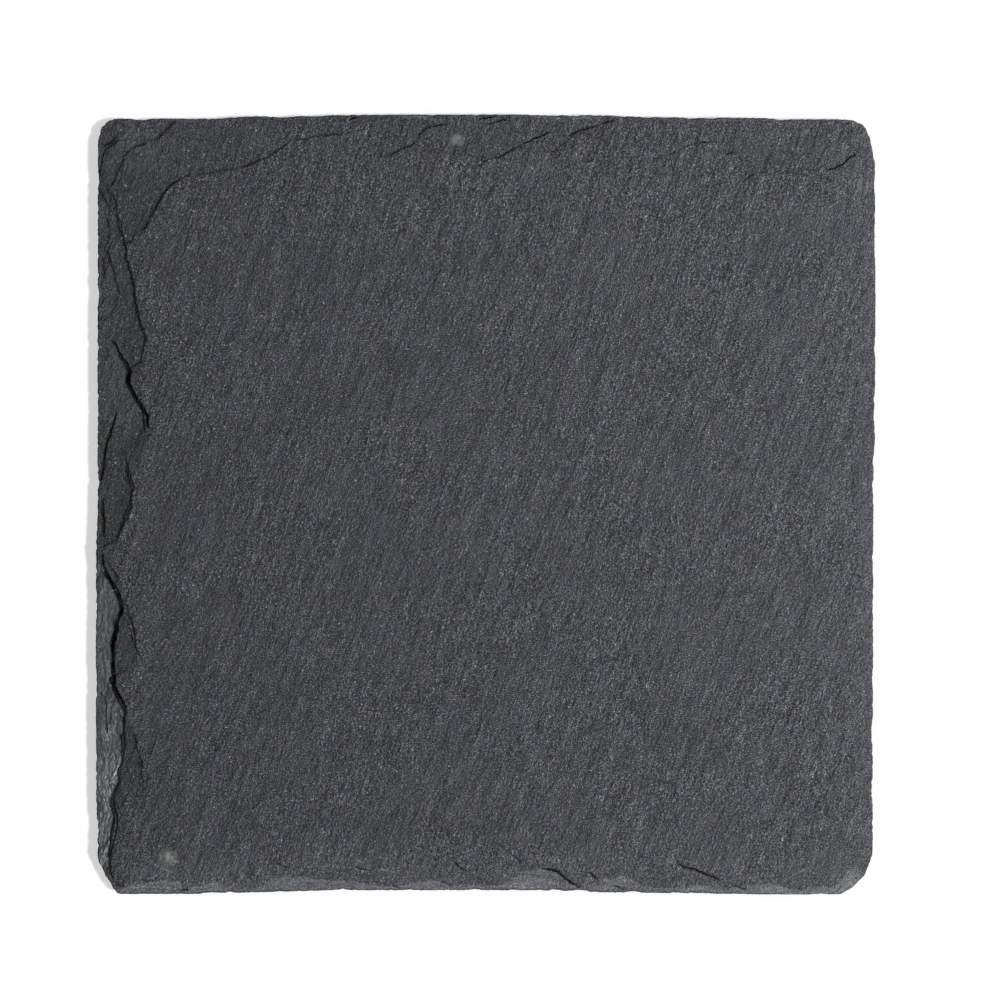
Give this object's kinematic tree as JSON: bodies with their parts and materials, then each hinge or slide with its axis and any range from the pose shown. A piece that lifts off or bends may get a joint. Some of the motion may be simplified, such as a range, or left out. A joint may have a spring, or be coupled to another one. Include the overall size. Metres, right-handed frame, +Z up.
{
  "type": "drink coaster",
  "caption": "Square drink coaster of dark riven slate with knapped edges, standing on round foam pads held by adhesive film.",
  "frame": {"origin": "on the table, under the middle of the slab", "axes": "+X to the coaster's right as pictured from above, +Y to its far side, +Z up, square to the slab's top face"},
  "size_m": [0.1, 0.1, 0.008],
  "materials": {
    "slate": "matte",
    "pad": "matte",
    "adhesive": "satin"
  },
  "bodies": {
    "root": {"slate_slab": "slate", "foot_pad_front_left": "pad", "foot_pad_front_right": "pad", "foot_pad_back_left": "pad", "foot_pad_back_right": "pad", "adhesive_disc_front_left": "adhesive", "adhesive_disc_front_right": "adhesive", "adhesive_disc_back_left": "adhesive", "adhesive_disc_back_right": "adhesive"}
  },
  "joints": []
}
